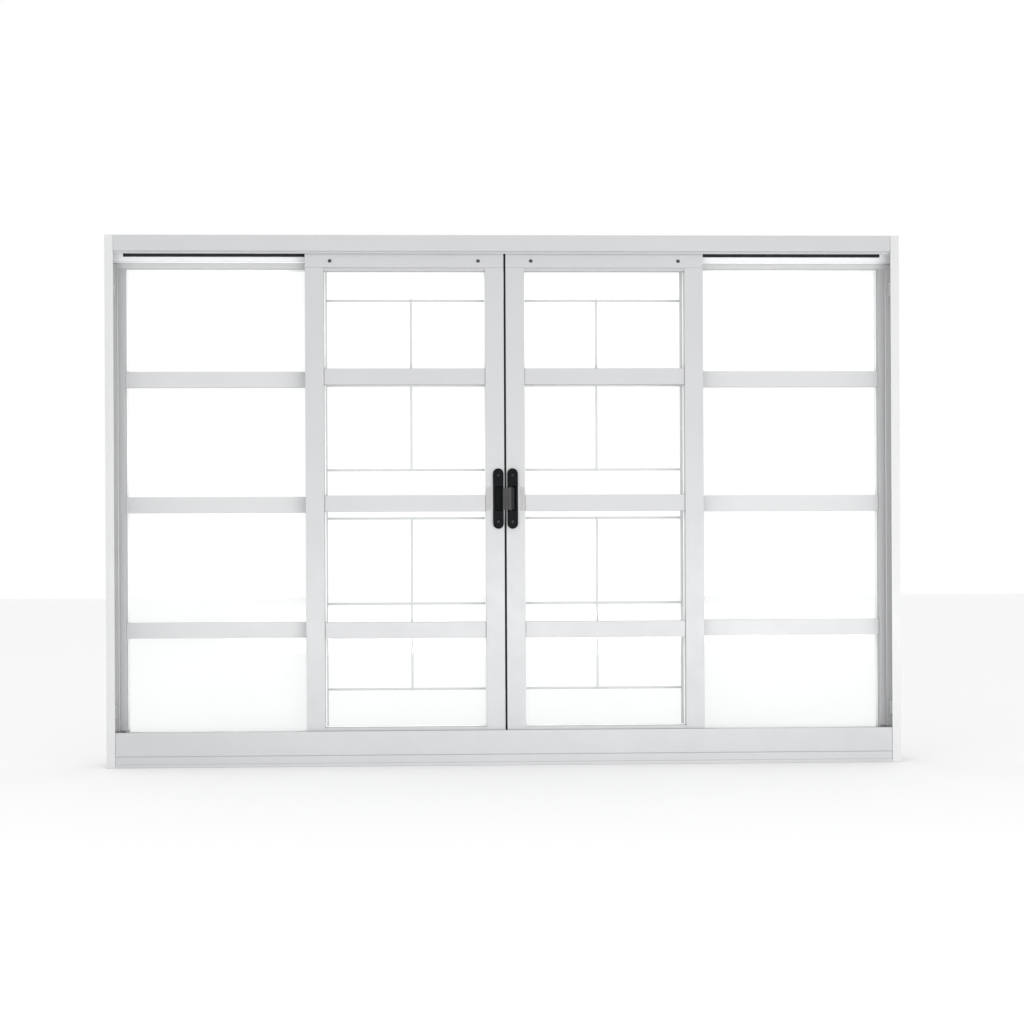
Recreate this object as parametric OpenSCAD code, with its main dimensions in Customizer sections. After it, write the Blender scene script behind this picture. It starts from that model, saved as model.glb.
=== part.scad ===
// Four-leaf sliding window with security bars: two fixed outer leaves, two sliding middle leaves.
// X runs along the window, Y from the room (-) to outdoors (+), Z up from the sill underside.

/* [Opening] */
// Overall width of the frame
frame_w = 1500; // [1300:10:1700]
// Overall height of the frame
frame_h = 1000; // [900:10:1200]

/* [Leaves] */
// Width of the stiles of the sliding leaves
stile_w = 35; // [32:1:40]
// Height of each flat security bar
bar_h = 30; // [20:1:40]
// Height of the middle security bar's centre above the sill underside
bar_mid_z = 495; // [480:1:510]
// Distance between the security bars
bar_pitch = 240; // [200:5:250]

/* [Latch] */
// Height of the latch's centre above the sill underside
latch_z = 503; // [490:1:515]
// Length of each latch half
latch_len = 114; // [100:1:130]

/* [Grille] */
// Diameter of the grille's rods
rod_d = 4; // [3:0.5:5]

/* [Hidden] */
$fn = 32;
eps = 0.01;

// Frame. Depths d are measured back from the frame's room-side face.
frame_depth = 80;
half_w = frame_w / 2;
wall = 1.6;
flange_t = 2;
jamb_face = 16;                       // width of the jamb's front flange
joint_gap = 0.4;                      // hairline joint between the jambs and the head or sill
rail_half = half_w - jamb_face - joint_gap;
track_stop = half_w - 15;             // inner edge of the rib in each jamb
rail_end = half_w - wall;             // their inner parts run on to the jamb webs
head_face_z = frame_h - 30;           // lower edge of the head's flat face
head_lip_z = frame_h - 34;            // lower edge of the head's set-back lip
head_lip_d = 4;                       // front of that lip
head_back = 0.4;                      // the head's face lies this far behind the jambs'
mid_rib_d = 37;                       // front of the rib between the two tracks
mid_rib_z = frame_h - 44;             // bottom of that rib under the head
rear_lip_z = frame_h - 50;            // bottom of the head's rear flange
sill_face_z = 66;                     // top of the sill's front wall
sill_back = 1.2;                      // its face lies this far behind the jambs'
sill_toe_z = 5.6;                     // top of the toe along its lower edge
sill_deck_z = 21;                     // top of the sill's hollow base
sill_groove_z = 20.5;                 // decorative groove across the sill's face
sill_mid_z = 48;                      // top of the wall between the tracks
sill_rear_z = 40;
drain_x = [-560, -190, 190, 560];     // drain slots through the sill's rear wall
track_d = 20;                         // centre of the roller rail
track_z = 34;                         // top of the roller rail
port_r = 3.6;                         // screw ports in head and sill
screw_r = 2;
port_depths = [10, 60];
sill_port_z = 16;
head_port_z = frame_h - 5;
fixing_r = 3;                         // wall-fixing holes in the jamb webs
fixing_depth = 20;
fixing_heights = [frame_h / 2 - 300, frame_h / 2 + 300];

// Leaves
leaf_t = 24;
sash_d = 8;                           // front of the sliding leaves
fixed_d = 42;                         // front of the fixed leaves
sash_in = 2;                          // from the centre line to the meeting stile
sash_out = 377;                       // from the centre line to the outer edge
sash_z0 = 37;
sash_z1 = frame_h - 15;
sash_rail_z = frame_h - 59.5;         // seam between the stiles and the top rail
seam = 0.2;
sash_glass_z0 = 71.5;                 // top of the bottom rail
sash_glass_z1 = frame_h - 65;         // lower edge of the top rail's lip
fixed_out = half_w - 3;
fixed_outer_w = 23;
fixed_z0 = sill_deck_z + 1;
fixed_rail_top = 58;                  // top of the fixed bottom rail
fixed_rail_low = frame_h - 53;        // lower edge of the fixed top rail
front_box = 13.5;                     // depth of the stile's front box
groove_w = 10;                        // depth of the glazing groove
rail_groove = 8.5;                    // depth of the groove in the sliding leaf's top rail
lip_t = 1.6;
glass_u = 16;                         // glass front, from the leaf's front
glass_t = 3;
glass_in = 8;                         // how far the glass enters the groove
bar_u = 2;
fixed_bar_u = 5;
bar_back = front_box;
pad_t = 1.2;
bar_heights = [bar_mid_z - bar_pitch, bar_mid_z, bar_mid_z + bar_pitch];
guide_x = [50, 330];
guide_z = frame_h - 47;
roller_x = [80, 300];
corner_d = sash_d + 6;                // screws through the stiles into the bottom rail's port
corner_z = sash_glass_z0 - 5.8;
roller_groove_r = 9;
roller_r = 11;
roller_z = track_z + roller_groove_r + 0.3;
axle_r = 1.5;
hook_z0 = 52;
hook_z1 = frame_h - 61;

// Latch
plate_w = 20;
plate_x = 3.5;                        // gap side of each latch half, from the centre line
plate_mid = plate_x + plate_w / 2;
plate_d = 1;                          // front of the latch
plate_t = sash_d - plate_d;
plate_c = 1.5;                        // chamfer round the plate's front
latch_straight = latch_len - plate_w;
window_h = 46;
window_z0 = latch_z - window_h / 2;
cup_depth = 10;
cup_x0 = 6;
cup_x1 = 21;
latch_screw_dz = 44;
pin_x = 10.5;
pin_d = 6.5;
spring_coils = 6;                     // coils on each side of the spring's middle
pin_r = 1.25;
lever_z0 = window_z0 + 2;
lever_h = window_h - 4;
lever_x = 10.9;                       // outer edge of the lever's ribbed plate
lever_floor_d = 3.3;                  // front of the web between that plate and the thumb ridge
tab_x = 16.6;                         // outer edge of the thumb ridge
tab_w = 3.8;
coil_r = 1.7;                         // return spring, to the middle of its wire
wire_r = 0.4;

// Grille behind the middle opening
upright_x0 = 358;
upright_w = 15;
grille_screw_x = upright_x0 + upright_w / 2;
grille_d = 72;
rod_depth = 75;
stay_depth = rod_depth - rod_d;
stay_x = 180;
rod_heights = [for (part = [0.1375, 0.3035, 0.4690, 0.5630, 0.7272, 0.8918]) frame_h * part];

// Colours
white = "#dcdddf";
black = "#1c1e20";
steel = "#b9bcc0";
rubber = "#26282a";
nylon = "#3a3c3f";
grey = "#b4b6b8";
clear = [0.85, 0.92, 0.92, 0.35];

// ---- helpers ----

// A profile drawn as (depth, height), run along X.
module along_x(x0, x1)
    translate([x0, -frame_depth / 2, 0]) rotate([90, 0, 90]) linear_extrude(x1 - x0) children();

// A profile drawn as (X, depth), run up from z0 to z1.
module up_z(z0, z1)
    translate([0, -frame_depth / 2, z0]) linear_extrude(z1 - z0) children();

module rect(x0, x1, y0, y1)
    translate([x0, y0]) square([x1 - x0, y1 - y0]);

// A box given by its limits in X, depth and height.
module block(x0, x1, d0, d1, z0, z1)
    translate([x0, d0 - frame_depth / 2, z0]) cube([x1 - x0, d1 - d0, z1 - z0]);

// A rod along the depth from d0 to d1.
module rod_y(x, z, d0, d1, r)
    translate([x, d0 - frame_depth / 2, z]) rotate([-90, 0, 0]) cylinder(h = d1 - d0, r = r);

// A rod along X from x0 to x1.
module rod_x(d, z, x0, x1, r)
    translate([x0, d - frame_depth / 2, z]) rotate([0, 90, 0]) cylinder(h = x1 - x0, r = r);

// A rectangular tube section.
module tube2d(x0, x1, y0, y1, t = wall)
    difference() {
        rect(x0, x1, y0, y1);
        rect(x0 + t, x1 - t, y0 + t, y1 - t);
    }

// Draws a right-hand piece on the right (s = 1) or mirrored on the left (s = -1).
module side(s)
    if (s > 0) children(); else mirror([1, 0, 0]) children();

// ---- frame ----

module head_profile() {
    difference() {
        union() {
            rect(head_back, frame_depth, frame_h - wall, frame_h);
            rect(head_back, head_back + flange_t, head_face_z, frame_h);
            rect(head_back, head_lip_d + lip_t, head_face_z, head_face_z + lip_t);
            rect(head_lip_d, head_lip_d + lip_t, head_lip_z, head_face_z + eps);
            rect(mid_rib_d, mid_rib_d + flange_t, mid_rib_z + 1.8, frame_h - wall);
            translate([mid_rib_d + 1, mid_rib_z + 1.8]) circle(1.8);
            rect(frame_depth - flange_t, frame_depth, rear_lip_z, frame_h);
            for (d = port_depths) translate([d, head_port_z]) circle(port_r);
        }
        for (d = port_depths) translate([d, head_port_z]) circle(screw_r);
    }
}

module sill_profile() {
    difference() {
        union() {
            rect(sill_back, sill_back + flange_t, 0, sill_face_z - 1);
            translate([sill_back + 1, sill_face_z - 1]) circle(1);
            polygon([[0, 0], [sill_back + 1, 0], [sill_back + 1, sill_toe_z + sill_back],
                     [sill_back, sill_toe_z + sill_back], [0, sill_toe_z]]);
            rect(0, frame_depth, 0, wall);
            rect(sill_back + 1, frame_depth, sill_deck_z - wall, sill_deck_z);
            rect(mid_rib_d, mid_rib_d + flange_t, sill_deck_z - wall, sill_mid_z);
            rect(track_d - 1, track_d + 1, sill_deck_z - wall, track_z - 1);
            translate([track_d, track_z - 1]) circle(1);
            rect(frame_depth - flange_t, frame_depth, 0, sill_rear_z);
            for (d = port_depths) translate([d, sill_port_z]) circle(port_r);
        }
        for (d = port_depths) translate([d, sill_port_z]) circle(screw_r);
        translate([sill_back, sill_groove_z]) polygon([[-0.5, -1.3], [1, 0], [-0.5, 1.3]]);
    }
}

module between_flanges()
    intersection() {
        children();
        rect(flange_t, frame_depth - flange_t, 0, frame_h);
    }

module head_rail()
    color(white) difference() {
        union() {
            along_x(-rail_half, rail_half) head_profile();
            for (s = [-1, 1]) side(s)
                along_x(rail_half - eps, rail_end) between_flanges() head_profile();
        }
        at_grille_screws() flush_hole(6);
    }

module sill_rail()
    color(white) difference() {
        union() {
            along_x(-rail_half, rail_half) sill_profile();
            for (s = [-1, 1]) side(s)
                along_x(rail_half - eps, rail_end) between_flanges() sill_profile();
        }
        for (x = drain_x) block(x - 12, x + 12, frame_depth - 4, frame_depth + 1, 8, 13);
        at_grille_screws() flush_hole(6);
    }

module sill_drain_caps()
    color(white) for (x = drain_x) difference() {
        union() {
            block(x - 11.8, x + 11.8, frame_depth - flange_t, frame_depth, 8.2, 12.8);
            block(x - 15, x + 15, frame_depth - flange_t - 1.2, frame_depth - flange_t, 6, 15);
        }
        block(x - 9, x + 9, frame_depth - 4, frame_depth + 1, 9.4, 11.6);
    }

module jamb(s)
    color(white) side(s) difference() {
        union() {
            up_z(0, frame_h) {
                rect(half_w - wall, half_w, 0, frame_depth);
                rect(half_w - jamb_face, half_w, 0, flange_t);
                rect(half_w - jamb_face, half_w, frame_depth - flange_t, frame_depth);
            }
            up_z(sill_mid_z + 2, mid_rib_z - 2) {
                rect(track_stop + 1.8, half_w - wall + eps, mid_rib_d, mid_rib_d + flange_t);
                translate([track_stop + 1.8, mid_rib_d + 1]) circle(1.8);
            }
        }
        for (d = port_depths, z = [sill_port_z, head_port_z])
            translate([half_w - wall, d - frame_depth / 2, z]) rotate([0, 90, 0])
                cylinder(h = wall, r1 = screw_r, r2 = screw_r + 1.6);
        for (z = fixing_heights) rod_x(fixing_depth, z, half_w - 3, half_w + 1, fixing_r);
    }

// A countersunk screw whose head is flush at x = 0 and whose shank runs towards -X.
module flush_screw(length)
    difference() {
        union() {
            translate([-1.6, 0, 0]) rotate([0, 90, 0]) cylinder(h = 1.6, r1 = screw_r, r2 = screw_r + 1.6);
            translate([-length, 0, 0]) rotate([0, 90, 0]) cylinder(h = length - 1.6 + eps, r = screw_r);
        }
        for (a = [0, 90]) rotate([a, 0, 0]) translate([-0.9, -1.6, -0.35]) cube([2, 3.2, 0.7]);
    }

// The hole that such a screw fills.
module flush_hole(length) {
    translate([-1.6, 0, 0]) rotate([0, 90, 0]) cylinder(h = 1.6, r1 = screw_r, r2 = screw_r + 1.6);
    translate([-length, 0, 0]) rotate([0, 90, 0]) cylinder(h = length - 1.6 + eps, r = screw_r);
}

// Places for the screws that hold the grille's uprights to the rear flanges.
module at_grille_screws()
    for (s = [-1, 1], z = [32, frame_h - 20])
        side(s) translate([grille_screw_x, frame_depth / 2, z]) rotate([0, 0, 90]) children();

module frame_screws()
    color(steel) {
        for (s = [-1, 1], d = port_depths, z = [sill_port_z, head_port_z])
            side(s) translate([half_w, d - frame_depth / 2, z]) flush_screw(22);
        at_grille_screws() flush_screw(6);
    }

module head_seal()
    color(rubber) block(-725, 725, 34, mid_rib_d, frame_h - 32.4, frame_h - 21);

module jamb_bumpers()
    color("#c9cbcd") for (s = [-1, 1], z = [90, frame_h - 110]) side(s)
        difference() {
            block(half_w - 12, half_w - wall, 12, 28, z, z + 24);
            block(half_w - 13, half_w - 9, 18, 22, z + 4, z + 20);
        }

module fixed_leaf_packers()
    color(nylon) for (s = [-1, 1], x = [346, fixed_out - 20]) side(s) {
        block(x, x + 10, fixed_d, fixed_d + leaf_t, sill_deck_z, fixed_z0);
        for (z = [fixed_z0, frame_h - 38]) {
            block(x, x + 10, mid_rib_d + flange_t, fixed_d, z, z + 16);
            block(x, x + 10, fixed_d + leaf_t, frame_depth - flange_t - (x < 400 ? 6 : 0), z, z + 16);
        }
    }

// ---- grille ----

module grille_uprights()
    color(white) for (s = [-1, 1]) side(s) difference() {
        up_z(fixed_z0 + 1, frame_h - 12)
            tube2d(upright_x0, upright_x0 + upright_w, grille_d, frame_depth - flange_t, 1.2);
        at_grille_screws() flush_hole(6);
        for (z = rod_heights) rod_x(rod_depth, z, upright_x0 - 1, upright_x0 + 5, rod_d / 2);
    }

module grille_rods()
    color(white) for (z = rod_heights)
        rod_x(rod_depth, z, -upright_x0 - 5, upright_x0 + 5, rod_d / 2);

module grille_stays()
    color(white) for (x = [-stay_x, 0, stay_x], i = [0, 3])
        translate([x, stay_depth - frame_depth / 2, rod_heights[i] - rod_d / 2])
            cylinder(h = rod_heights[i + 2] - rod_heights[i] + rod_d, r = rod_d / 2);

// ---- leaves ----

// Section of a stile as (X, depth). The closed edge is at x0 and the glazing groove faces x1.
module stile2d(x0, x1, d) {
    dir = x1 > x0 ? 1 : -1;
    tube_end = x1 - dir * groove_w;
    tube2d(min(x0, tube_end), max(x0, tube_end), d, d + leaf_t);
    tube2d(min(tube_end - dir * wall, x1), max(tube_end - dir * wall, x1), d, d + front_box);
    rect(min(tube_end - dir, x1), max(tube_end - dir, x1), d + leaf_t - lip_t, d + leaf_t);
}

module sash_outer_stile(s)
    color(white) side(s) difference() {
        union() {
            up_z(sash_z0, sash_rail_z) stile2d(sash_out, sash_out - stile_w, sash_d);
            up_z(hook_z0, hook_z1) {
                rect(sash_out - 5, sash_out - 3.6, sash_d + leaf_t - eps, mid_rib_d - 0.6);
                rect(sash_out - 9, sash_out - 3.6, mid_rib_d - 1.8, mid_rib_d - 0.6);
            }
        }
        translate([sash_out, corner_d - frame_depth / 2, corner_z]) flush_hole(stile_w + 1);
    }

module sash_meeting_stile(s)
    color(white) side(s) difference() {
        up_z(sash_z0, sash_rail_z) stile2d(sash_in, sash_in + stile_w, sash_d);
        block(cup_x0 - 0.2, cup_x1 + 0.2, sash_d - 1, sash_d + wall + 0.5, window_z0 - 2.2,
              window_z0 + window_h + 2.2);
        for (dz = [-latch_screw_dz, latch_screw_dz])
            rod_y(plate_mid, latch_z + dz, sash_d - 1, sash_d + wall + 0.5, 1.5);
        translate([sash_in, corner_d - frame_depth / 2, corner_z]) mirror([1, 0, 0])
            flush_hole(stile_w + 1);
    }

module sash_top_rail(s)
    color(white) side(s) difference() {
        union() {
            along_x(sash_in, sash_out) {
                tube2d(sash_d, sash_d + leaf_t, sash_rail_z + rail_groove, sash_z1);
                tube2d(sash_d, sash_d + front_box, sash_rail_z + seam, sash_rail_z + rail_groove + wall);
                rect(sash_d + leaf_t - lip_t, sash_d + leaf_t, sash_rail_z + seam, sash_rail_z + groove_w);
            }
            along_x(sash_in + stile_w, sash_out - stile_w)
                rect(sash_d + 3, sash_d + front_box, sash_glass_z1, sash_rail_z + seam + eps);
        }
        for (x = guide_x) {
            rod_y(x, guide_z, sash_d - 1, sash_d + wall + 0.5, 3.6);
            block(x - 6, x + 6, sash_d + 6, sash_d + 18, sash_z1 - wall - 1, sash_z1 + 1);
        }
    }

module sash_bottom_rail(s)
    color(white) side(s)
        along_x(sash_in + stile_w, sash_out - stile_w) {
            rect(sash_d, sash_d + wall, sash_z0, sash_glass_z0);
            rect(sash_d + leaf_t - lip_t, sash_d + leaf_t, sash_z0, sash_glass_z0);
            rect(sash_d, sash_d + leaf_t, sash_glass_z0 - groove_w - wall, sash_glass_z0 - groove_w);
            tube2d(sash_d, sash_d + front_box, sash_glass_z0 - groove_w - wall, sash_glass_z0);
            translate([corner_d, corner_z]) difference() {
                circle(4.3);
                circle(screw_r);
            }
        }

// Glass pane between x0..x1 and z0..z1 of the visible opening.
module pane(x0, x1, z0, z1, d)
    block(x0 - glass_in, x1 + glass_in, d + glass_u, d + glass_u + glass_t, z0 - glass_in, z1 + glass_in);

// Gasket: one ring in front of the glass and one behind it.
module gasket(x0, x1, z0, z1, d)
    for (g = [[front_box, glass_u], [glass_u + glass_t, leaf_t - lip_t]])
        difference() {
            block(x0 - 6, x1 + 6, d + g[0], d + g[1], z0 - 6, z1 + 6);
            block(x0 + 1, x1 - 1, d + g[0] - 1, d + g[1] + 1, z0 + 1, z1 - 1);
        }

// Three flat bars between x0 and x1.
module bars(x0, x1, d, u)
    for (z = bar_heights)
        block(x0, x1, d + u, d + bar_back, z - bar_h / 2, z + bar_h / 2);

module sash_glass(s)
    color(clear) side(s) pane(sash_in + stile_w, sash_out - stile_w, sash_glass_z0, sash_rail_z, sash_d);

module sash_gasket(s)
    color(white) side(s) gasket(sash_in + stile_w, sash_out - stile_w, sash_glass_z0, sash_rail_z, sash_d);

module sash_bars(s)
    color(white) side(s)
        bars(sash_in + stile_w + pad_t, sash_out - stile_w - pad_t, sash_d, bar_u);

module sash_bar_pads(s)
    color(grey) side(s) for (x = [sash_in + stile_w, sash_out - stile_w - pad_t], z = bar_heights)
        block(x, x + pad_t, sash_d + bar_u + 0.3, sash_d + bar_back, z - bar_h / 2 + 0.3, z + bar_h / 2 - 0.3);

module sash_guides(s)
    color(black) side(s) for (x = guide_x) {
        block(x - 10, x + 10, sash_d + wall, sash_d + leaf_t - wall,
              sash_rail_z + rail_groove + wall, sash_z1 - wall);
        block(x - 5.5, x + 5.5, sash_d + 6.5, sash_d + 17.5, sash_z1 - wall - eps, sash_z1);
        block(x - 10, x + 10, sash_d - 1, mid_rib_d - 1, sash_z1, sash_z1 + 4);
    }

module sash_roller_housings(s)
    color(nylon) side(s) for (x = roller_x) {
        difference() {
            union() {
                block(x - 16, x + 16, sash_d + wall, sash_d + leaf_t - lip_t, 56,
                      sash_glass_z0 - groove_w - wall);
                for (d = [track_d - 7, track_d + 3.6])
                    block(x - 13, x + 13, d, d + 3.4, 38, 56.5);
            }
            rod_y(x, roller_z, 0, frame_depth, axle_r);
        }
        rod_y(x, roller_z, track_d - 8, track_d + 8, axle_r);
    }

module sash_screws(s)
    color(steel) side(s) {
        for (dz = [-latch_screw_dz, latch_screw_dz])
            translate([plate_mid, plate_d + 0.4 - frame_depth / 2, latch_z + dz]) rotate([0, 0, -90])
                latch_screw();
        translate([sash_out, corner_d - frame_depth / 2, corner_z]) flush_screw(stile_w + 12);
        translate([sash_in, corner_d - frame_depth / 2, corner_z]) mirror([1, 0, 0])
            flush_screw(stile_w + 12);
    }

// Pan-head cross-recessed screw, head face at x = 0, shank towards -X.
module latch_screw()
    difference() {
        union() {
            translate([-1.8, 0, 0]) rotate([0, 90, 0]) cylinder(h = 1.8, r1 = 3.4, r2 = 2.8);
            translate([-13, 0, 0]) rotate([0, 90, 0]) cylinder(h = 11.2 + eps, r = 1.5);
        }
        for (a = [0, 90]) rotate([a, 0, 0]) translate([-1.1, -1.9, -0.4]) cube([2, 3.8, 0.8]);
    }

module roller(s, i)
    color("#e8e8e4") side(s) translate([roller_x[i], track_d - frame_depth / 2, roller_z])
        rotate([90, 0, 0]) rotate_extrude($fn = 48) difference() {
            rect(axle_r + 0.1, roller_r, -3.2, 3.2);
            polygon([[roller_groove_r, -1.5], [roller_r + 1, -2.6], [roller_r + 1, 2.6],
                     [roller_groove_r, 1.5]]);
        }

// ---- fixed leaves ----

module fixed_outer_stile(s)
    color(white) side(s) up_z(fixed_z0, fixed_rail_low)
        stile2d(fixed_out, fixed_out - fixed_outer_w, fixed_d);

module fixed_inner_stile(s)
    color(white) side(s) {
        up_z(fixed_z0, fixed_rail_low) stile2d(sash_out - stile_w, sash_out, fixed_d);
        up_z(hook_z0, hook_z1) {
            rect(sash_out - 12, sash_out - 10.6, mid_rib_d - 4, fixed_d + eps);
            rect(sash_out - 12, sash_out - 7, mid_rib_d - 4, mid_rib_d - 2.8);
        }
    }

module fixed_top_rail(s)
    color(white) side(s) along_x(sash_out - stile_w, fixed_out) {
        tube2d(fixed_d, fixed_d + leaf_t, fixed_rail_low + groove_w, sash_z1);
        tube2d(fixed_d, fixed_d + front_box, fixed_rail_low, fixed_rail_low + groove_w + wall);
        rect(fixed_d + leaf_t - lip_t, fixed_d + leaf_t, fixed_rail_low, fixed_rail_low + groove_w + 1);
    }

module fixed_bottom_rail(s)
    color(white) side(s) along_x(sash_out, fixed_out - fixed_outer_w) {
        tube2d(fixed_d, fixed_d + leaf_t, fixed_z0, fixed_rail_top - groove_w);
        tube2d(fixed_d, fixed_d + front_box, fixed_rail_top - groove_w - wall, fixed_rail_top);
        rect(fixed_d + leaf_t - lip_t, fixed_d + leaf_t, fixed_rail_top - groove_w - 1, fixed_rail_top);
    }

module fixed_glass(s)
    color(clear) side(s) pane(sash_out, fixed_out - fixed_outer_w, fixed_rail_top, fixed_rail_low, fixed_d);

module fixed_gasket(s)
    color(white) side(s)
        gasket(sash_out, fixed_out - fixed_outer_w, fixed_rail_top, fixed_rail_low, fixed_d);

module fixed_bars(s)
    color(white) side(s) bars(sash_out, fixed_out - fixed_outer_w, fixed_d, fixed_bar_u);

// ---- latch ----

// A plate with round ends and a chamfered front edge.
module latch_plate()
    translate([plate_mid, sash_d - frame_depth / 2, latch_z]) rotate([90, 0, 0]) {
        translate([0, latch_straight / 2, 0]) rotate([90, 0, 0]) linear_extrude(latch_straight)
            polygon([[-plate_w / 2, 0], [plate_w / 2, 0], [plate_w / 2, plate_t - plate_c],
                     [plate_w / 2 - plate_c, plate_t], [plate_c - plate_w / 2, plate_t],
                     [-plate_w / 2, plate_t - plate_c]]);
        for (s = [-1, 1]) translate([0, s * latch_straight / 2, 0]) {
            cylinder(h = plate_t - plate_c, r = plate_w / 2);
            translate([0, 0, plate_t - plate_c])
                cylinder(h = plate_c, r1 = plate_w / 2, r2 = plate_w / 2 - plate_c);
        }
    }

// One latch half with its recessed cup, its screw holes and a notch for the lever's nose.
module latch_half()
    difference() {
        union() {
            latch_plate();
            block(cup_x0, cup_x1, sash_d - eps, sash_d + cup_depth, window_z0 - 2, window_z0 + window_h + 2);
        }
        block(cup_x0 + 1.4, cup_x1 - 1.4, plate_d - 2, sash_d + cup_depth - 1.4, window_z0,
              window_z0 + window_h);
        block(plate_x - 1, cup_x0 + 2, plate_d - 2, sash_d - 1, window_z0, window_z0 + window_h);
        for (dz = [-latch_screw_dz, latch_screw_dz]) {
            rod_y(plate_mid, latch_z + dz, plate_d - 1, sash_d + 1, 1.5);
            rod_y(plate_mid, latch_z + dz, plate_d - 1, plate_d + 2.2, 3.6);
        }
    }

module latch_keeper()
    color(black) mirror([1, 0, 0]) latch_half();

module latch_body()
    color(black) difference() {
        latch_half();
        rod_z(pin_x, pin_d, window_z0 - 3, window_z0 + window_h + 3, pin_r);
    }

module rod_z(x, d, z0, z1, r)
    translate([x, d - frame_depth / 2, z0]) cylinder(h = z1 - z0, r = r);

module latch_lever()
    color("#6a6c6e") difference() {
        union() {
            block(-4.8, lever_x, plate_d + 1.2, sash_d - 1.6, lever_z0, lever_z0 + lever_h);
            rod_z(pin_x, pin_d, lever_z0, lever_z0 + lever_h, 2.6);
            block(pin_x, tab_x, lever_floor_d, sash_d - 1.6, lever_z0, lever_z0 + lever_h);
            block(tab_x - tab_w, tab_x, plate_d + 1.2, sash_d - 1.6, lever_z0, lever_z0 + lever_h);
        }
        rod_z(pin_x, pin_d, lever_z0 - 1, lever_z0 + lever_h + 1, pin_r + 0.1);
        for (x = [-0.6, 2.6, 5.8])
            block(x, x + 0.9, plate_d, plate_d + 1.9, lever_z0 - 1, lever_z0 + lever_h + 1);
        block(pin_x - 2.5, pin_x + 2.5, pin_d - 2.4, sash_d + 3, latch_z - 6, latch_z + 6);
    }

module latch_pin()
    color(steel) rod_z(pin_x, pin_d, window_z0 - 3, window_z0 + window_h + 3, pin_r);

module latch_spring()
    color(steel) translate([pin_x, pin_d - frame_depth / 2, latch_z]) {
        for (i = [-spring_coils:spring_coils]) translate([0, 0, i * wire_r * 1.75])
            rotate_extrude() translate([coil_r, 0]) circle(wire_r, $fn = 16);
    }

module latch_packer(s)
    color(grey) side(s)
        block(28, sash_in + stile_w - 1, sash_d - 0.8, sash_d, latch_z - 22, latch_z + 22);

module meeting_seal()
    color(rubber) block(-1.5, sash_in, sash_d + 5, sash_d + 17, sash_z0 + 2, sash_z1 - 2);

// ---- assembly ----
head_rail();
sill_rail();
jamb(-1);  // left_jamb
jamb(1);  // right_jamb
frame_screws();
head_seal();
sill_drain_caps();
jamb_bumpers();
fixed_leaf_packers();
grille_uprights();
grille_rods();
grille_stays();
fixed_outer_stile(-1);  // left_fixed_outer_stile
fixed_inner_stile(-1);  // left_fixed_inner_stile
fixed_top_rail(-1);  // left_fixed_top_rail
fixed_bottom_rail(-1);  // left_fixed_bottom_rail
fixed_glass(-1);  // left_fixed_glass
fixed_gasket(-1);  // left_fixed_gasket
fixed_bars(-1);  // left_fixed_bars
fixed_outer_stile(1);  // right_fixed_outer_stile
fixed_inner_stile(1);  // right_fixed_inner_stile
fixed_top_rail(1);  // right_fixed_top_rail
fixed_bottom_rail(1);  // right_fixed_bottom_rail
fixed_glass(1);  // right_fixed_glass
fixed_gasket(1);  // right_fixed_gasket
fixed_bars(1);  // right_fixed_bars
sash_outer_stile(-1);  // left_sash_outer_stile
sash_meeting_stile(-1);  // left_sash_meeting_stile
sash_top_rail(-1);  // left_sash_top_rail
sash_bottom_rail(-1);  // left_sash_bottom_rail
sash_glass(-1);  // left_sash_glass
sash_gasket(-1);  // left_sash_gasket
sash_bars(-1);  // left_sash_bars
sash_bar_pads(-1);  // left_sash_bar_pads
sash_guides(-1);  // left_sash_guides
sash_roller_housings(-1);  // left_sash_roller_housings
sash_screws(-1);  // left_sash_screws
sash_outer_stile(1);  // right_sash_outer_stile
sash_meeting_stile(1);  // right_sash_meeting_stile
sash_top_rail(1);  // right_sash_top_rail
sash_bottom_rail(1);  // right_sash_bottom_rail
sash_glass(1);  // right_sash_glass
sash_gasket(1);  // right_sash_gasket
sash_bars(1);  // right_sash_bars
sash_bar_pads(1);  // right_sash_bar_pads
sash_guides(1);  // right_sash_guides
sash_roller_housings(1);  // right_sash_roller_housings
sash_screws(1);  // right_sash_screws
roller(-1, 1);  // left_outer_roller
roller(-1, 0);  // left_inner_roller
roller(1, 0);  // right_inner_roller
roller(1, 1);  // right_outer_roller
latch_keeper();
latch_body();
latch_lever();
latch_pin();
latch_spring();
latch_packer(-1);  // left_latch_packer
latch_packer(1);  // right_latch_packer
meeting_seal();
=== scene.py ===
"""Looks of the four-leaf sliding window with security bars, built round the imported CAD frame."""
import math
import random

import bmesh
import bpy
from mathutils import Euler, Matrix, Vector


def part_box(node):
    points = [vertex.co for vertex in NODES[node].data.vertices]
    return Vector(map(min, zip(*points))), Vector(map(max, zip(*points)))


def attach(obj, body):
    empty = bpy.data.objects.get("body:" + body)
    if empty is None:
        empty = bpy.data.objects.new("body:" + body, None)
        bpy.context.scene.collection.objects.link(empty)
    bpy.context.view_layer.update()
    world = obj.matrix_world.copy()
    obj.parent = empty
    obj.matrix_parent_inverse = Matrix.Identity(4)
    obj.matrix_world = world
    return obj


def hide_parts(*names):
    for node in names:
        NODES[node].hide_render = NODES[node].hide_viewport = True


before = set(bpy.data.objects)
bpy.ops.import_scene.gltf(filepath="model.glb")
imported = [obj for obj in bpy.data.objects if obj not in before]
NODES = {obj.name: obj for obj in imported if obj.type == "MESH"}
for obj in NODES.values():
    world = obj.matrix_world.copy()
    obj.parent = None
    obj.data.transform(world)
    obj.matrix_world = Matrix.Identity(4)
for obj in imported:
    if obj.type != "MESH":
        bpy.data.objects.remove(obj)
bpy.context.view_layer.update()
SIDES = ("left", "right")
MM = 0.001

# ---------------------------------------------------------------- camera


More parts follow.
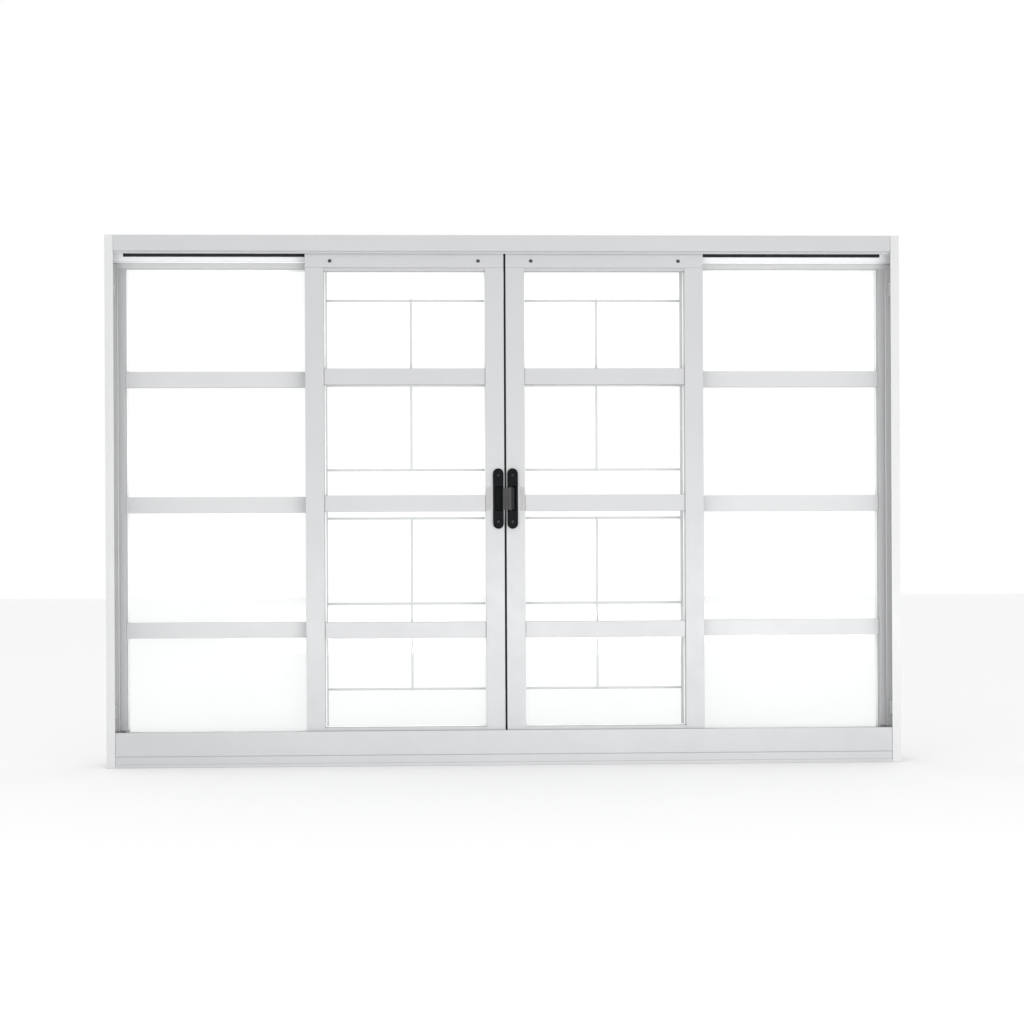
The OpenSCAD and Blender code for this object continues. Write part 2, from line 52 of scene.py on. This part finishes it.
def make_camera():
    """A camera in front of the window, a little left of its middle and above half its height."""
    data = bpy.data.cameras.new("camera")
    data.sensor_width = 36
    data.lens = 43.42
    data.shift_x = 0.0165
    data.shift_y = 0.0552
    camera = bpy.data.objects.new("camera", data)
    bpy.context.scene.collection.objects.link(camera)
    camera.location = (-0.0740, -2.3695, 0.3709)
    pitch_down, yaw_right, roll = 0.0, 0.0230, 0.00466
    look = Euler((math.pi / 2 - pitch_down, 0, -yaw_right), "XYZ").to_matrix()
    camera.rotation_euler = (look @ Euler((0, 0, -roll)).to_matrix()).to_euler()
    bpy.context.scene.camera = camera


make_camera()

# ---------------------------------------------------------------- materials


class Shader:
    """A material with a Principled shader and small helpers to add procedural detail."""

    def __init__(self, name, color, roughness, **sockets):
        self.material = bpy.data.materials.new(name)
        self.material.use_nodes = True
        self.tree = self.material.node_tree
        self.shader = self.tree.nodes["Principled BSDF"]
        self.shader.inputs["Base Color"].default_value = (*color, 1)
        self.shader.inputs["Roughness"].default_value = roughness
        for socket, value in sockets.items():
            self.shader.inputs[socket.replace("_", " ")].default_value = value
        self.color, self.rough = color, roughness
        self.normal = None

    def node(self, kind, **values):
        made = self.tree.nodes.new(kind)
        for key, value in values.items():
            if key in made.inputs:
                made.inputs[key].default_value = value
            else:
                setattr(made, key, value)
        return made

    def link(self, source, target):
        self.tree.links.new(source, target)

    def noise(self, scale, detail=3.0, stretch=(1, 1, 1)):
        """Noise in object space, so that its grain has a real size in metres."""
        where = self.node("ShaderNodeTexCoord")
        mapping = self.node("ShaderNodeMapping")
        mapping.inputs["Scale"].default_value = stretch
        made = self.node("ShaderNodeTexNoise", Scale=scale, Detail=detail)
        self.link(where.outputs["Object"], mapping.inputs["Vector"])
        self.link(mapping.outputs["Vector"], made.inputs["Vector"])
        return made.outputs["Fac"]

    def remap(self, value, low, high, from_low=0.3, from_high=0.7):
        made = self.node("ShaderNodeMapRange")
        self.link(value, made.inputs["Value"])
        limits = {"From Min": from_low, "From Max": from_high, "To Min": low, "To Max": high}
        for key, number in limits.items():
            made.inputs[key].default_value = number
        return made.outputs["Result"]

    def mottle(self, scale, amount, detail=3.0, stretch=(1, 1, 1)):
        """Varies the colour a little, darker and lighter round its own value."""
        ramp = self.node("ShaderNodeMix", data_type="RGBA")
        self.link(self.remap(self.noise(scale, detail, stretch), 0, 1), ramp.inputs["Factor"])
        ramp.inputs["A"].default_value = (*[c * (1 - amount) for c in self.color], 1)
        ramp.inputs["B"].default_value = (*[min(1, c * (1 + amount)) for c in self.color], 1)
        self.link(ramp.outputs["Result"], self.shader.inputs["Base Color"])
        return self

    def second_colour(self, node, axis, edge, color):
        """Another colour past a plane, at a distance in metres along one axis of the frame."""
        to_local = NODES[node].matrix_world.inverted()
        local_axis = to_local.to_3x3() @ Vector(axis)
        start = local_axis.dot(to_local @ (Vector(axis) * edge))
        first = self.shader.inputs["Base Color"].links[0].from_socket
        where = self.node("ShaderNodeTexCoord")
        along = self.node("ShaderNodeVectorMath", operation="DOT_PRODUCT")
        self.link(where.outputs["Object"], along.inputs[0])
        along.inputs[1].default_value = local_axis
        blend = 0.1 * MM
        past = self.remap(along.outputs["Value"], 0, 1, start - blend, start + blend)
        both = self.node("ShaderNodeMix", data_type="RGBA")
        self.link(past, both.inputs["Factor"])
        self.link(first, both.inputs["A"])
        both.inputs["B"].default_value = (*color, 1)
        self.link(both.outputs["Result"], self.shader.inputs["Base Color"])
        return self

    def uneven_gloss(self, scale, spread, detail=2.0, stretch=(1, 1, 1)):
        out = self.remap(self.noise(scale, detail, stretch), self.rough - spread, self.rough + spread)
        self.link(out, self.shader.inputs["Roughness"])
        return self

    def bump(self, scale, height, detail=2.0, strength=0.6, stretch=(1, 1, 1)):
        """Fine relief of a height in metres, added to any relief already there."""
        made = self.node("ShaderNodeBump", Strength=strength, Distance=height)
        self.link(self.noise(scale, detail, stretch), made.inputs["Height"])
        if self.normal:
            self.link(self.normal, made.inputs["Normal"])
        self.normal = made.outputs["Normal"]
        self.link(self.normal, self.shader.inputs["Normal"])
        return self


# Painted light: a brighter white that stands in for light on the rib under the head, which lies in shade.
PAINTED_LIGHT_WHITE = (0.80, 0.806, 0.82)


def powder_coat(name, color, painted_light_band=None):
    """White powder coat: fine orange peel, a slow waviness and a faint change of tone.

    A band of a part, given as its node, front, back and top, is painted a brighter white: painted light on a
    surface that lies in shade.
    """
    coat = Shader(name, color, 0.42, Coat_Weight=0.12, Coat_Roughness=0.25)
    coat.mottle(7, 0.018, 4)
    if painted_light_band:
        node, front, back, top = painted_light_band
        # Painted highlight: the band between front and back, below top, takes the brighter white.
        coat.second_colour(node, (0, 1, 0), front, PAINTED_LIGHT_WHITE)
        coat.second_colour(node, (0, 1, 0), back, color)
        coat.second_colour(node, (0, 0, 1), top, color)
    coat.uneven_gloss(38, 0.05)
    coat.bump(420, 0.00009, 2, 0.5)
    coat.bump(1500, 0.00003, 2, 0.35)
    return coat.material


def moulded(name, color, roughness, grain=1400, height=0.00004, specular=0.5):
    """Moulded plastic with a fine spark-eroded grain."""
    plastic = Shader(name, color, roughness, Specular_IOR_Level=specular)
    plastic.mottle(60, 0.08, 4)
    plastic.uneven_gloss(90, 0.06)
    plastic.bump(grain, height, 2, 0.6)
    return plastic.material


def lever_finish(name):
    """The latch lever: worn dark grey on its ribbed plate, black on the web and ridge beside it."""
    plate_grey, ridge_black = (0.042, 0.042, 0.043), (0.006, 0.007, 0.008)
    plate_edge = 11 * MM
    finish = Shader(name, plate_grey, 0.4, Specular_IOR_Level=0.12)
    finish.mottle(60, 0.10, 4)
    finish.second_colour("latch_lever", (1, 0, 0), plate_edge, ridge_black)
    finish.uneven_gloss(90, 0.06)
    finish.bump(900, 0.00005, 2, 0.6)
    return finish.material


def zinc(name):
    """Bright zinc plating with fine marks along its length."""
    steel = Shader(name, (0.50, 0.51, 0.53), 0.30, Metallic=1.0)
    steel.mottle(240, 0.12, 4)
    steel.uneven_gloss(600, 0.10)
    steel.bump(900, 0.00002, 2, 0.5, (1, 1, 6))
    return steel.material


def clear_glass(name):
    """Float glass with a very faint film of dust that shows only in its gloss."""
    glass = Shader(name, (0.90, 0.97, 0.95), 0.03, Alpha=0.07, IOR=1.5)
    glass.mottle(6, 0.02, 4)
    glass.uneven_gloss(5, 0.02, 4)
    glass.bump(1.6, 0.00004, 1, 0.10)
    return glass.material


def rubber(name, color, roughness=0.75):
    """Soft dull rubber or brush backing, with a fine uneven surface."""
    soft = Shader(name, color, roughness)
    soft.mottle(35, 0.10, 4, (1, 1, 0.2))
    soft.uneven_gloss(70, 0.08)
    soft.bump(1100, 0.00005, 3, 0.6)
    return soft.material


WHITE = powder_coat("powder_coat_white", (0.373, 0.376, 0.383))
# Painted light: a lighter copy of the same white paint for the jambs and the fixed leaves' top rails,
# standing in for brighter light on them.
JAMB_PAINTED_LIGHT_WHITE = powder_coat("powder_coat_jambs", (0.463, 0.466, 0.470))
# Painted light: a lighter copy of the same white paint for the fixed leaves' bars, which lie behind the glass
# and in the frame's shade.
LEAF_PAINTED_LIGHT_WHITE = powder_coat("powder_coat_fixed_leaves", (0.42, 0.424, 0.43))
# The head rail's rib, from 8 mm in front to 12 mm behind and below 992 mm, is painted brighter: painted light
# on a part in shade.
HEAD_WHITE = powder_coat("powder_coat_head", (0.378, 0.381, 0.388), ("head_rail", -8 * MM, 12 * MM, 992 * MM))
ROD_WHITE = powder_coat("rod_coat_white", (0.43, 0.434, 0.44))
BLACK = moulded("latch_satin_black", (0.003, 0.0038, 0.0043), 0.45, 900, 0.00005, 0.05)
LEVER_GREY = lever_finish("lever_dark_grey")
NYLON = moulded("nylon_black", (0.022, 0.023, 0.025), 0.5)
PALE_PLASTIC = moulded("plastic_white", (0.44, 0.445, 0.45), 0.45)
PACKER_GREY = moulded("packer_grey", (0.30, 0.297, 0.30), 0.5)
BLACK_ZINC = moulded("screw_black", (0.008, 0.008, 0.009), 0.3, 1800, 0.00003, 0.2)
ROLLER_NYLON = moulded("roller_nylon", (0.60, 0.60, 0.57), 0.4)
STEEL = zinc("zinc_steel")
GLASS = clear_glass("window_glass")
GASKET = rubber("gasket_grey", (0.80, 0.805, 0.81), 0.6)
SEAL = rubber("seal_black", (0.012, 0.013, 0.015))
PILE = rubber("pile_black", (0.016, 0.018, 0.021), 0.9)


def paint(node, material):
    """Gives a CAD node its only material."""
    mesh = NODES[node].data
    mesh.materials.clear()
    mesh.materials.append(material)


EDGE, LATCH_EDGE = 0.35 * MM, 0.5 * MM


def soften(node, width, angle=32):
    """Rounds the sharp edges of a CAD node a little, so that they catch the light."""
    weld = NODES[node].modifiers.new("weld", "WELD")
    weld.merge_threshold = 0.01 * MM
    bevel = NODES[node].modifiers.new("edges", "BEVEL")
    bevel.width = width
    bevel.segments = 2
    bevel.limit_method = "ANGLE"
    bevel.angle_limit = math.radians(angle)
    bevel.harden_normals = True
    bevel.use_clamp_overlap = True


ENDINGS = (
    ("glass", GLASS), ("gasket", GASKET), ("sash_screws", BLACK_ZINC), ("screws", STEEL),
    ("guides", NYLON), ("pads", PACKER_GREY), ("housings", NYLON), ("packers", NYLON),
    ("latch_packer", PACKER_GREY), ("roller", ROLLER_NYLON), ("jamb", JAMB_PAINTED_LIGHT_WHITE),
    ("head_rail", HEAD_WHITE), ("fixed_bars", LEAF_PAINTED_LIGHT_WHITE), ("fixed_top_rail", JAMB_PAINTED_LIGHT_WHITE),
    ("bumpers", PALE_PLASTIC), ("caps", PALE_PLASTIC), ("rods", ROD_WHITE), ("stays", ROD_WHITE),
    ("seal", SEAL), ("latch_keeper", BLACK), ("latch_body", BLACK), ("latch_lever", LEVER_GREY),
    ("latch_pin", STEEL), ("latch_spring", STEEL),
)
PLAIN_EDGED = ("glass", "gasket", "seal", "spring", "screws", "stays", "rods")

for name in NODES:
    paint(name, next((material for ending, material in ENDINGS if name.endswith(ending)), WHITE))
    if not name.endswith(PLAIN_EDGED):
        soften(name, LATCH_EDGE if name.startswith("latch") else EDGE)

# ---------------------------------------------------------------- helpers for new pieces


def piece(name, mesh, material, body, stands_for=(), smooth=True):
    """Links a mesh as a piece of the object, riding on a body and standing for CAD nodes."""
    made = bpy.data.objects.new(name, mesh)
    bpy.context.scene.collection.objects.link(made)
    mesh.materials.append(material)
    if smooth:
        mesh.shade_smooth()
    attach(made, body)
    if stands_for:
        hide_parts(*stands_for)
    return made


def mesh_from(name, work):
    """Turns a finished bmesh into a mesh whose faces all look outwards."""
    bmesh.ops.recalc_face_normals(work, faces=work.faces)
    mesh = bpy.data.meshes.new(name)
    work.to_mesh(mesh)
    work.free()
    return mesh


def sweep(work, rings, closed):
    """Joins rings of points into one skin. Open sweeps get end caps."""
    made = [[work.verts.new(point) for point in ring] for ring in rings]
    count = len(made[0])
    pairs = list(zip(made, made[1:] + made[:1])) if closed else list(zip(made, made[1:]))
    for here, there in pairs:
        for i in range(count):
            j = (i + 1) % count
            work.faces.new((here[i], here[j], there[j], there[i]))
    if not closed:
        work.faces.new(made[0][::-1])
        work.faces.new(made[-1])


# ---------------------------------------------------------------- gaskets


def gasket_profile(thickness, reach, lip):
    """Outline of a glazing gasket as (inward, depth): a flat foot and a soft lip against the glass."""
    arc = 6
    outline = [(0, 0), (0, thickness)]
    for i in range(arc + 1):
        turn = math.pi / 2 * (1 - i / arc)
        outline.append((reach - lip + lip * math.cos(turn), thickness - lip + lip * math.sin(turn)))
    outline.append((reach - lip * 0.6, 0))
    return outline


def add_gasket(name, node, body, glass_node):
    """Two rings of soft gasket, mitred at the corners, one on each face of the pane."""
    low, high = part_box(node)
    glass_low, glass_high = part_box(glass_node)
    work = bmesh.new()
    inward_reach = 7.6 * MM
    for face, to_glass in ((low.y, glass_low.y), (high.y, glass_high.y)):
        thickness = abs(to_glass - face)
        away = 1 if to_glass > face else -1
        outline = gasket_profile(thickness, inward_reach, min(thickness * 0.7, 1.6 * MM))
        corners = ((low.x, low.z, 1, 1), (high.x, low.z, -1, 1),
                   (high.x, high.z, -1, -1), (low.x, high.z, 1, -1))
        rings = [[(x + dx * u, face + away * d, z + dz * u) for u, d in outline]
                 for x, z, dx, dz in corners]
        sweep(work, rings, closed=True)
    piece(name, mesh_from(name, work), GASKET, body, (node,), smooth=False)


for side in SIDES:
    add_gasket(f"{side}_sash_glazing_gasket", f"{side}_sash_gasket", f"{side}_sash", f"{side}_sash_glass")
    add_gasket(f"{side}_fixed_glazing_gasket", f"{side}_fixed_gasket", "frame", f"{side}_fixed_glass")

# ---------------------------------------------------------------- pile and meeting seals


BRISTLE_RADIUS, BRISTLE_ROW_GAP = 0.22 * MM, 0.9 * MM
BRISTLE_TURNS = (0.3, 2.4, 4.5)


def add_bristles(work, start, end, out, length, rows, spacing, chance):
    """Fine three-sided bristles along a line, each leaning a little its own way."""
    along = end - start
    count = int(along.length / spacing)
    side_way = along.normalized().cross(out).normalized()
    for i in range(count):
        for row in range(rows):
            off_line = (row - (rows - 1) / 2) * BRISTLE_ROW_GAP
            root = start + along * ((i + 0.5) / count) + side_way * off_line
            lean = along.normalized() * chance.uniform(-0.25, 0.25) + side_way * chance.uniform(-0.18, 0.18)
            tip = root + (out + lean).normalized() * (length * chance.uniform(0.86, 1.0))
            base = [root + along.normalized() * BRISTLE_RADIUS * math.cos(a)
                    + side_way * BRISTLE_RADIUS * math.sin(a) for a in BRISTLE_TURNS]
            points = [work.verts.new(p) for p in base]
            point = work.verts.new(tip)
            for k in range(3):
                work.faces.new((points[k], points[(k + 1) % 3], point))
            work.faces.new(points[::-1])


def add_head_pile():
    """The black brush under the head: a woven backing strip with bristles towards the sliding leaves."""
    low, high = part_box("head_seal")
    work = bmesh.new()
    backing = 1.1 * MM
    outline = [(high.y, low.z), (high.y, high.z), (high.y - backing, high.z - 0.3 * MM),
               (high.y - backing, low.z + 0.3 * MM)]
    sweep(work, [[(x, y, z) for y, z in outline] for x in (low.x, high.x)], closed=False)
    start = Vector((low.x, high.y - backing, (low.z + high.z) / 2))
    end = Vector((high.x, high.y - backing, (low.z + high.z) / 2))
    add_bristles(work, start, end, Vector((0, -1, 0)), 3.2 * MM, 7, 1.3 * MM, random.Random(4))
    piece("head_pile", mesh_from("head_pile", work), PILE, "frame", ("head_seal",), smooth=False)


def add_meeting_seal():
    """The rubber between the two middle leaves: a flat foot, two low ribs and a fuller one between them."""
    low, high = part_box("meeting_seal")
    foot = high.x - 0.9 * MM
    outline = [(high.x, low.y), (foot, low.y)]
    steps = 18
    for i in range(steps + 1):
        t = i / steps
        y = low.y + (high.y - low.y) * t
        swell = abs(math.sin(t * 3 * math.pi))
        reach = 1 if 0.3 < t < 0.7 else 0.7
        outline.append((foot - (foot - low.x) * swell * reach, y))
    outline += [(foot, high.y), (high.x, high.y)]
    outline = list(dict.fromkeys((round(x, 7), round(y, 7)) for x, y in outline))
    work = bmesh.new()
    sweep(work, [[(x, y, z) for x, y in outline] for z in (low.z, high.z)], closed=False)
    piece("meeting_rubber", mesh_from("meeting_rubber", work), SEAL, "right_sash", ("meeting_seal",),
          smooth=False)


add_head_pile()
add_meeting_seal()

# ---------------------------------------------------------------- return spring


def add_spring():
    """The latch's return spring: a real helix round the pin."""
    low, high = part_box("latch_spring")
    centre = (low + high) / 2
    wire = 0.42 * MM
    radius = (high.x - low.x) / 2 - wire
    turns, steps = 8, 22
    points = []
    for i in range(turns * steps + 1):
        turn = i / steps
        z = low.z + wire + (high.z - low.z - 2 * wire) * turn / turns
        points.append(Vector((centre.x + radius * math.cos(turn * math.tau),
                              centre.y + radius * math.sin(turn * math.tau), z)))
    work = bmesh.new()
    rings = []
    for i, point in enumerate(points):
        ahead = (points[min(i + 1, len(points) - 1)] - points[max(i - 1, 0)]).normalized()
        out = Vector((point.x - centre.x, point.y - centre.y, 0)).normalized()
        up = ahead.cross(out)
        rings.append([point + out * wire * math.cos(a) + up * wire * math.sin(a)
                      for a in [k * math.tau / 8 for k in range(8)]])
    sweep(work, rings, closed=False)
    piece("return_spring", mesh_from("return_spring", work), STEEL, "right_sash", ("latch_spring",))


add_spring()

# ---------------------------------------------------------------- grille welds


def add_welds():
    """A small uneven weld bead where each upright stay touches a rod."""
    chance = random.Random(11)
    bead_r, bead_depth, unevenness = 2.5 * MM, 1.5 * MM, 0.12
    work = bmesh.new()
    rods_low, rods_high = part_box("grille_rods")
    stays_low, stays_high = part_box("grille_stays")
    rod_r = (rods_high.y - rods_low.y) / 2
    rows = sorted({round(v.co.z, 3) for v in NODES["grille_rods"].data.vertices
                   if abs(v.co.y - rods_low.y) < 0.05 * MM})
    columns = (stays_low.x + rod_r, (stays_low.x + stays_high.x) / 2, stays_high.x - rod_r)
    for z in rows:
        for x in columns:
            made = bmesh.ops.create_icosphere(work, subdivisions=2, radius=1.0)["verts"]
            for v in made:
                lump = 1 + unevenness * chance.uniform(-1, 1)
                v.co = Vector((x + v.co.x * bead_r * lump, stays_high.y + v.co.y * bead_depth * lump,
                               z + v.co.z * bead_r * lump))
    piece("grille_welds", mesh_from("grille_welds", work), ROD_WHITE, "frame", ())


add_welds()

# ---------------------------------------------------------------- light and floor


def make_floor():
    """A plain pale floor, just under the sill."""
    work = bmesh.new()
    bmesh.ops.create_grid(work, x_segments=2, y_segments=2, size=14)
    mesh = mesh_from("floor", work)
    floor = bpy.data.objects.new("floor", mesh)
    bpy.context.scene.collection.objects.link(floor)
    floor.location.z = -0.3 * MM
    pale = Shader("floor_white", (0.93, 0.93, 0.93), 0.9)
    pale.shader.inputs["Specular IOR Level"].default_value = 0.1
    mesh.materials.append(pale.material)


def area_light(name, place, aim, size, power):
    """A rectangular light of a size in metres and a power in watts, turned towards a point."""
    data = bpy.data.lights.new(name, "AREA")
    data.shape = "RECTANGLE"
    data.size, data.size_y = size
    data.energy = power
    light = bpy.data.objects.new(name, data)
    bpy.context.scene.collection.objects.link(light)
    light.location = place
    light.rotation_euler = (Vector(aim) - Vector(place)).to_track_quat("-Z", "Y").to_euler()


def light_studio():
    """Even white surroundings, a key light from the upper left, a low one for the rib under the head."""
    scene = bpy.context.scene
    world = bpy.data.worlds.new("studio")
    scene.world = world
    world.use_nodes = True
    world.node_tree.nodes["Background"].inputs["Color"].default_value = (1, 1, 1, 1)
    world.node_tree.nodes["Background"].inputs["Strength"].default_value = 1.0
    area_light("key", (-2.2, -3.2, 2.2), (0, 0, 0.5), (2.2, 1.6), 12)
    area_light("low_fill", (0.4, -2.6, 0.12), (0, 0, 0.95), (3.0, 0.2), 55)
    scene.view_settings.view_transform = "Standard"
    scene.view_settings.look = "None"


make_floor()
light_studio()
